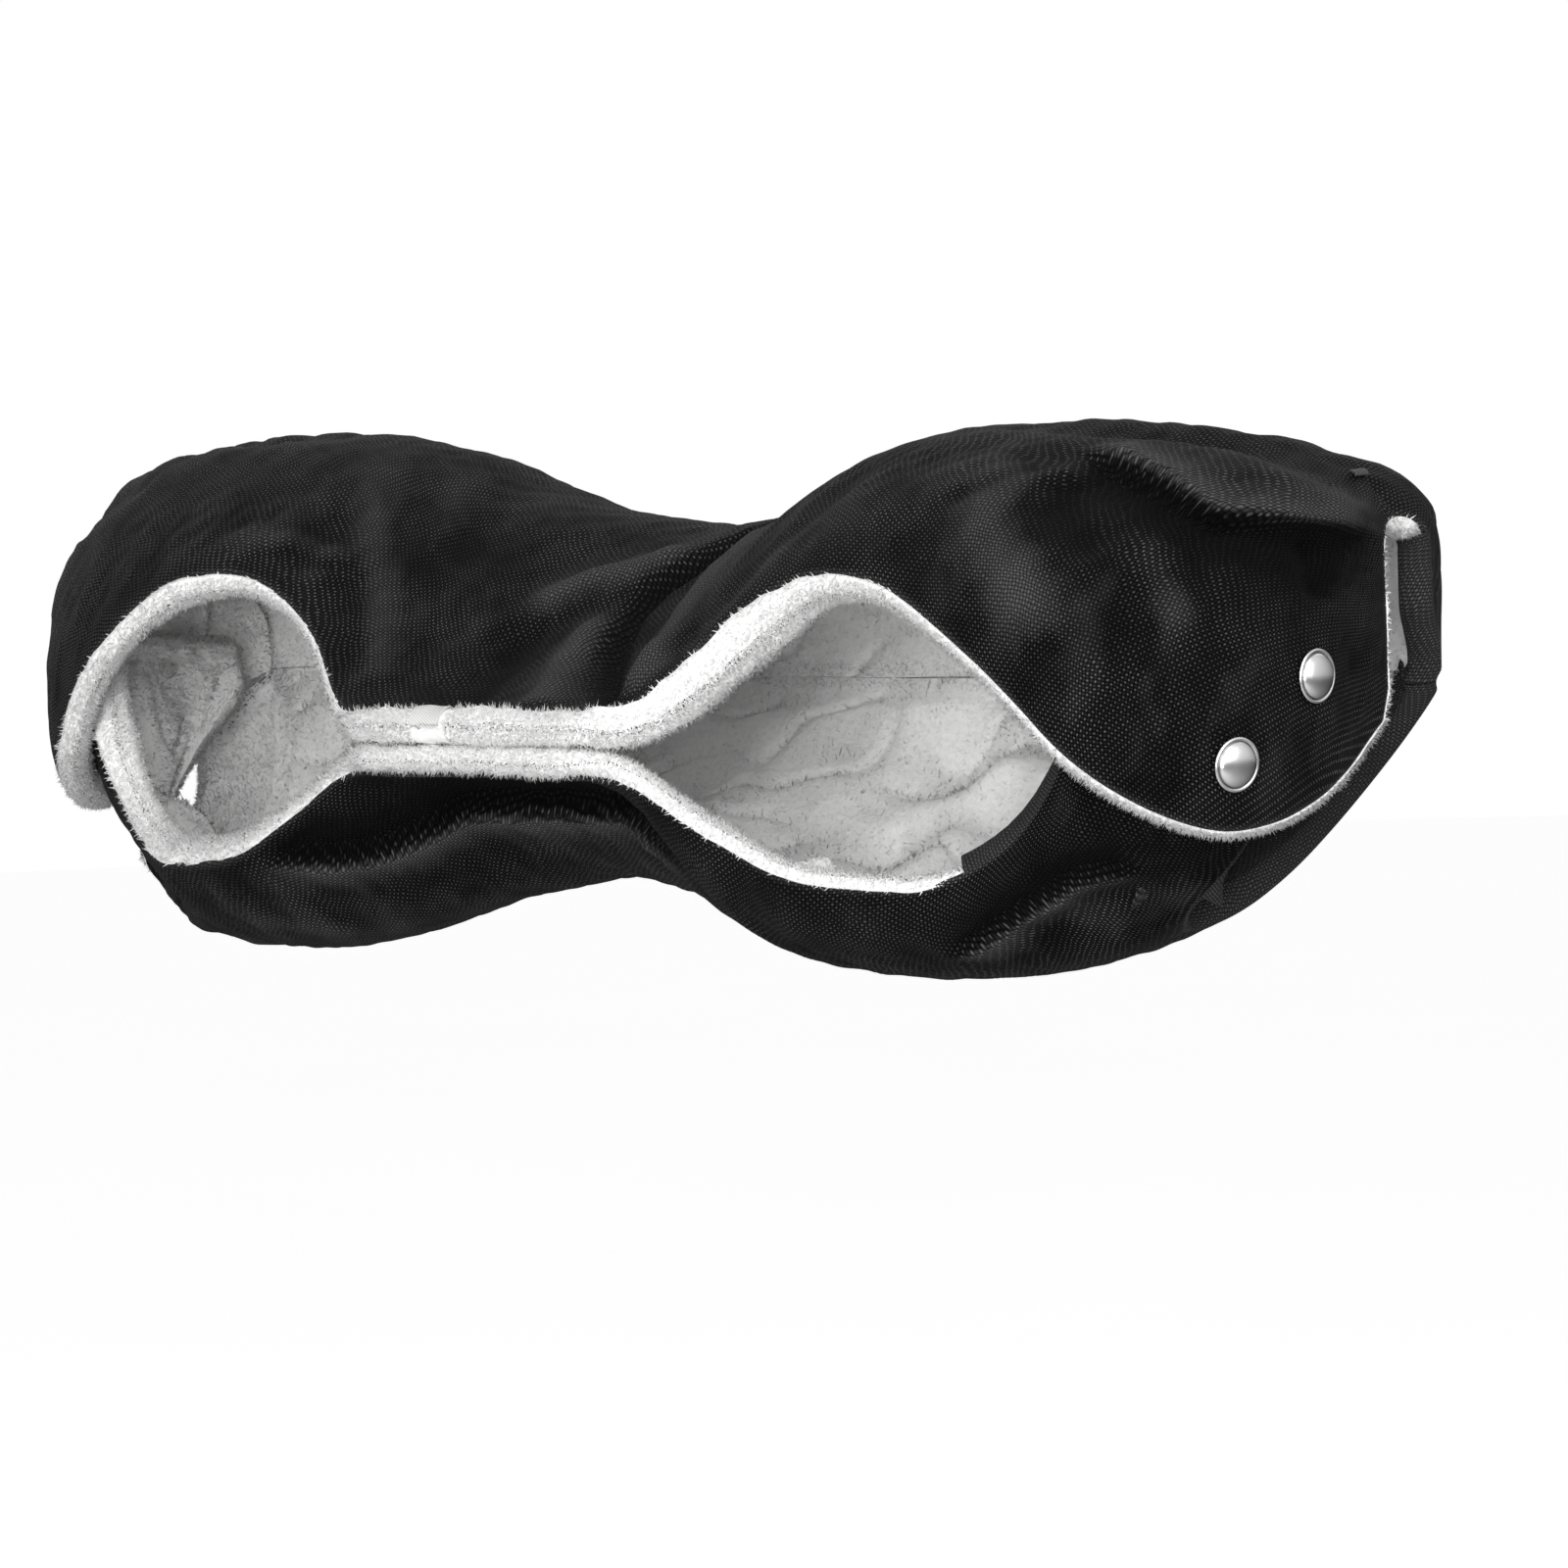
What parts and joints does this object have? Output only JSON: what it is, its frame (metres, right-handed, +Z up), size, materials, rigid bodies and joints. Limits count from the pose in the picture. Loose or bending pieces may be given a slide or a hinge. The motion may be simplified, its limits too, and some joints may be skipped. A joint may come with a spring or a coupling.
{
  "type": "stroller hand muff",
  "caption": "Waisted, padded hand muff folded round a handlebar, fleece lined, with front hand openings and snapped corner flaps over end slits.",
  "frame": {"origin": "on the handlebar's axis at the muff's mid-length", "axes": "+X along the handlebar to the user's right, +Y away from the user towards the stroller, +Z up"},
  "size_m": [0.452, 0.1779, 0.1543],
  "materials": {
    "outer_cloth": "matt woven",
    "wadding": "matt",
    "fleece": "matt pile",
    "snap_steel": "polished",
    "hook_tape": "matt",
    "loop_tape": "matt pile",
    "label": "satin woven",
    "thread": "matt"
  },
  "bodies": {
    "muff": {"upper_outer_cloth": "outer_cloth", "upper_wadding": "wadding", "upper_fleece_lining": "fleece", "lower_outer_cloth": "outer_cloth", "lower_wadding": "wadding", "lower_fleece_lining": "fleece", "right_upper_snap_stud": "snap_steel", "right_upper_snap_stud_back": "snap_steel", "right_lower_snap_stud": "snap_steel", "right_lower_snap_stud_back": "snap_steel", "right_slit_bartack": "thread", "left_upper_snap_stud": "snap_steel", "left_upper_snap_stud_back": "snap_steel", "left_lower_snap_stud": "snap_steel", "left_lower_snap_stud_back": "snap_steel", "left_slit_bartack": "thread", "closure_hook_strip": "hook_tape", "closure_loop_strip": "loop_tape", "woven_label": "label"},
    "right_flap": {"right_flap_outer_cloth": "outer_cloth", "right_flap_wadding": "wadding", "right_flap_fleece_lining": "fleece", "right_upper_snap_cap": "snap_steel", "right_upper_snap_socket": "snap_steel", "right_lower_snap_cap": "snap_steel", "right_lower_snap_socket": "snap_steel"},
    "left_flap": {"left_flap_outer_cloth": "outer_cloth", "left_flap_wadding": "wadding", "left_flap_fleece_lining": "fleece", "left_upper_snap_cap": "snap_steel", "left_upper_snap_socket": "snap_steel", "left_lower_snap_cap": "snap_steel", "left_lower_snap_socket": "snap_steel"}
  },
  "joints": [
    {"name": "right_flap_open", "type": "hinge", "parent": "muff", "child": "right_flap", "pos_m": [0.21322, -0.02809, 0.03961], "axis": [-0.3665, -0.8706, -0.3283], "range_deg": [0, 100]},
    {"name": "left_flap_open", "type": "hinge", "parent": "muff", "child": "left_flap", "pos_m": [-0.21322, -0.02809, 0.03961], "axis": [-0.3665, 0.8706, 0.3283], "range_deg": [0, 100]}
  ]
}
